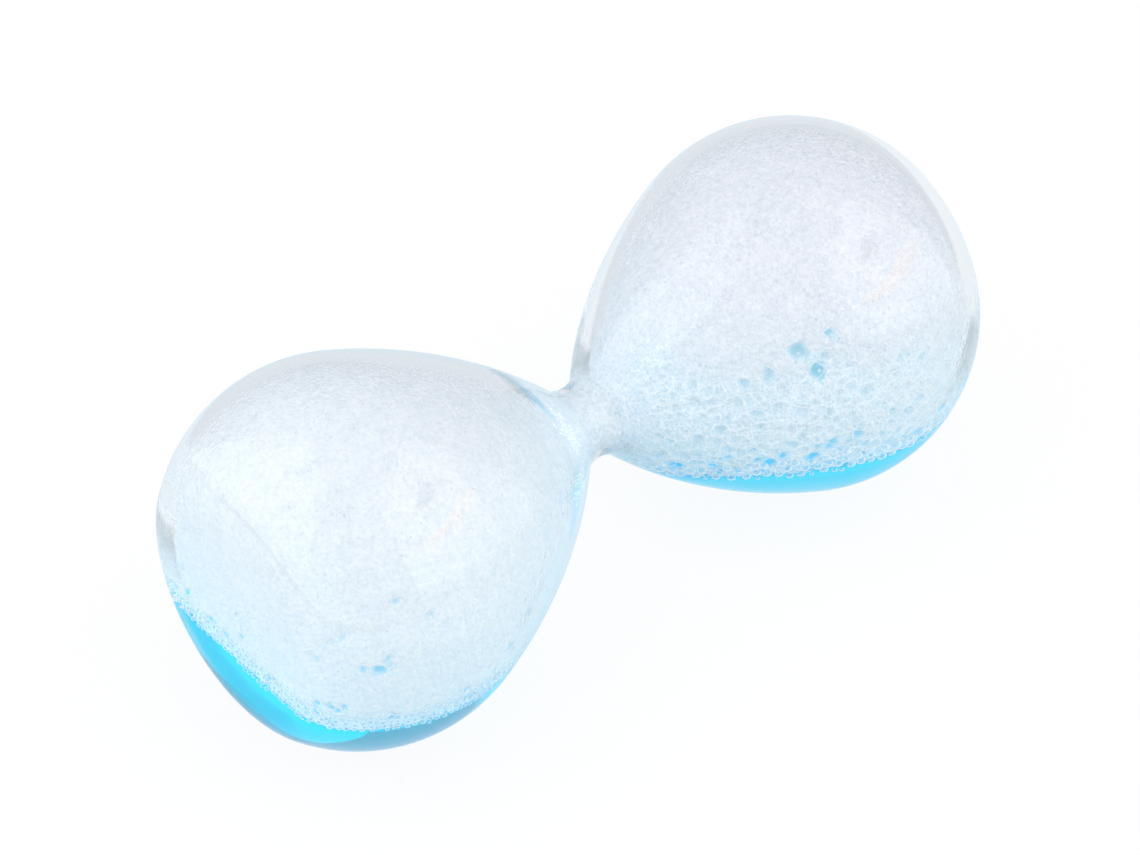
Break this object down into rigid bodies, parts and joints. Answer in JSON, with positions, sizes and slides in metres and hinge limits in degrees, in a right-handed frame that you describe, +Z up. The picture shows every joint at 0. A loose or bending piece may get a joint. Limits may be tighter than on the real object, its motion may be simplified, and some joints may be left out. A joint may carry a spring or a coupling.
{
  "type": "liquid motion timer",
  "caption": "Sealed glass timer lying on its side: two teardrop bulbs joined by a short neck, part filled with blue liquid under white foam.",
  "frame": {"origin": "on the surface that the timer lies on, below the middle of the neck", "axes": "+X along the timer's long axis towards the bulb with the filling seal, +Z up, and the liquid lies level in XY"},
  "size_m": [0.1536, 0.07, 0.07],
  "materials": {
    "clear_glass": "clear, fire-polished blown glass",
    "seal_glass": "clear glass, slightly rippled where it was melted shut",
    "blue_liquid": "clear cyan liquid",
    "wet_foam": "wet foam of round bubbles, tinted by the liquid",
    "dry_foam": "fine white foam of many-sided cells"
  },
  "bodies": {
    "contents": {"left_liquid": "blue_liquid", "left_wet_foam": "wet_foam", "left_dry_foam": "dry_foam", "neck_foam": "dry_foam", "right_dry_foam": "dry_foam", "right_wet_foam": "wet_foam", "right_liquid": "blue_liquid"},
    "vessel": {"left_bulb": "clear_glass", "neck_tube": "clear_glass", "right_bulb": "clear_glass", "filling_seal": "seal_glass"}
  },
  "joints": [
    {"name": "vessel_roll", "type": "hinge", "parent": "contents", "child": "vessel", "pos_m": [0, 0, 0.035], "axis": [1, 0, 0], "continuous": true}
  ]
}
